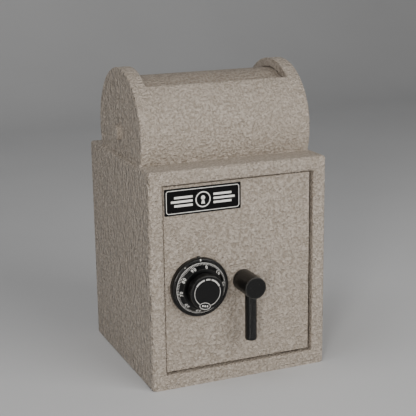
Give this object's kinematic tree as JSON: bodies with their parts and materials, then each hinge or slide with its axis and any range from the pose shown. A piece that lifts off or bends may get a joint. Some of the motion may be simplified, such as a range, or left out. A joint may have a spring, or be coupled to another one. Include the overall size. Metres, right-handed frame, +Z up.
{
  "type": "rotary hopper depository safe",
  "caption": "Small steel drop safe with a recessed door, combination dial and lever handle, and a rotary drum hopper on top for deposits.",
  "frame": {"origin": "centre of the body's underside, on the floor", "axes": "+Z up; the door and dial face -Y; +X is to the right seen from the front"},
  "size_m": [0.283, 0.3124, 0.457],
  "materials": {
    "body_paint": "taupe hammered texture enamel, satin",
    "bright_steel": "turned bright steel",
    "black_steel": "blackened and oiled",
    "zinc_screws": "zinc plated",
    "zinc_plate": "zinc plated, rolled grain",
    "lock_casting": "die-cast, satin",
    "bronze": "sintered bronze, oiled",
    "brass": "turned brass, satin",
    "cover_paint": "dark grey powder coat",
    "label": "black plate with a white printed border",
    "dial_black": "black enamel, semi-gloss, white-filled marks",
    "handle_black": "black satin enamel"
  },
  "bodies": {
    "safe": {"left_side": "body_paint", "right_side": "body_paint", "top_panel": "body_paint", "bottom_panel": "body_paint", "back_panel": "body_paint", "chute_baffles": "body_paint", "frame_jamb_left": "body_paint", "frame_jamb_right": "body_paint", "frame_head": "body_paint", "frame_sill": "body_paint", "hinge_pins": "bright_steel", "hood": "body_paint", "hopper_ends": "body_paint", "cheek_guards": "body_paint", "window_lips": "body_paint", "pivot_pins": "body_paint", "thrust_washers": "black_steel", "pivot_clips": "bright_steel"},
    "door": {"door_plate": "body_paint", "dead_bar": "zinc_plate", "label_plate": "label", "handle_bush": "bronze", "lock_case": "lock_casting", "lock_cover": "lock_casting", "lock_screws": "zinc_screws", "spindle_tube": "brass", "wheel_spacers": "brass", "dial_ring": "dial_black", "ring_screws": "zinc_screws", "bolt_guide": "zinc_plate", "door_standoffs": "zinc_plate", "shoulder_screws": "bright_steel", "boltwork_cover": "cover_paint", "cover_screws": "zinc_screws"},
    "handle": {"handle_hub": "handle_black", "lever": "handle_black", "handle_shaft": "bright_steel", "set_screw": "bright_steel", "crank": "zinc_plate", "roll_pin": "bright_steel", "shaft_washer": "bright_steel"},
    "bolt_carrier": {"carrier_plate": "zinc_plate", "live_bolts": "bright_steel", "bolt_screws": "zinc_screws"},
    "lock_slide": {"lock_bolt": "brass", "lock_lever": "brass", "lever_screw": "zinc_screws"},
    "dial_unit": {"dial": "dial_black", "spindle": "bright_steel", "drive_cam": "brass"},
    "wheel_one": {"wheel_1": "brass"},
    "wheel_two": {"wheel_2": "brass"},
    "wheel_three": {"wheel_3": "brass"},
    "drum": {"drum_shield": "body_paint", "drum_tray": "body_paint", "drum_discs": "body_paint", "drum_hubs": "body_paint", "pivot_bushes": "bronze", "pull_handle": "body_paint", "pull_screws": "zinc_screws"}
  },
  "joints": [
    {"name": "door_swing", "type": "hinge", "parent": "safe", "child": "door", "pos_m": [0.0955, -0.12465, 0.164], "axis": [0, 0, 1], "range_deg": [0, 100]},
    {"name": "handle_turn", "type": "hinge", "parent": "door", "child": "handle", "pos_m": [0.006, -0.131, 0.151], "axis": [0, 1, 0], "range_deg": [0, 50]},
    {"name": "bolt_throw", "type": "slide", "parent": "door", "child": "bolt_carrier", "axis": [-1, 0, 0], "range_m": [0, 0.0119]},
    {"name": "lock_bolt_slide", "type": "slide", "parent": "door", "child": "lock_slide", "axis": [-1, 0, 0], "range_m": [0, 0.0096]},
    {"name": "dial_spin", "type": "hinge", "parent": "door", "child": "dial_unit", "pos_m": [-0.0645, -0.131, 0.151], "axis": [0, -1, 0], "continuous": true},
    {"name": "wheel_one_spin", "type": "hinge", "parent": "door", "child": "wheel_one", "pos_m": [-0.0645, -0.112, 0.151], "axis": [0, -1, 0], "continuous": true},
    {"name": "wheel_two_spin", "type": "hinge", "parent": "door", "child": "wheel_two", "pos_m": [-0.0645, -0.107, 0.151], "axis": [0, -1, 0], "continuous": true},
    {"name": "wheel_three_spin", "type": "hinge", "parent": "door", "child": "wheel_three", "pos_m": [-0.0645, -0.102, 0.151], "axis": [0, -1, 0], "continuous": true},
    {"name": "drum_turn", "type": "hinge", "parent": "safe", "child": "drum", "pos_m": [0, 0, 0.361], "axis": [1, 0, 0], "range_deg": [0, 100]}
  ],
  "couplings": [
    {"joint": "bolt_throw", "follows": "handle_turn", "m_per_rad": 0.01356},
    {"joint": "lock_bolt_slide", "follows": "handle_turn", "m_per_rad": 0.010886},
    {"joint": "wheel_one_spin", "follows": "dial_spin", "ratio": 1},
    {"joint": "wheel_two_spin", "follows": "dial_spin", "ratio": 1},
    {"joint": "wheel_three_spin", "follows": "dial_spin", "ratio": 1}
  ]
}
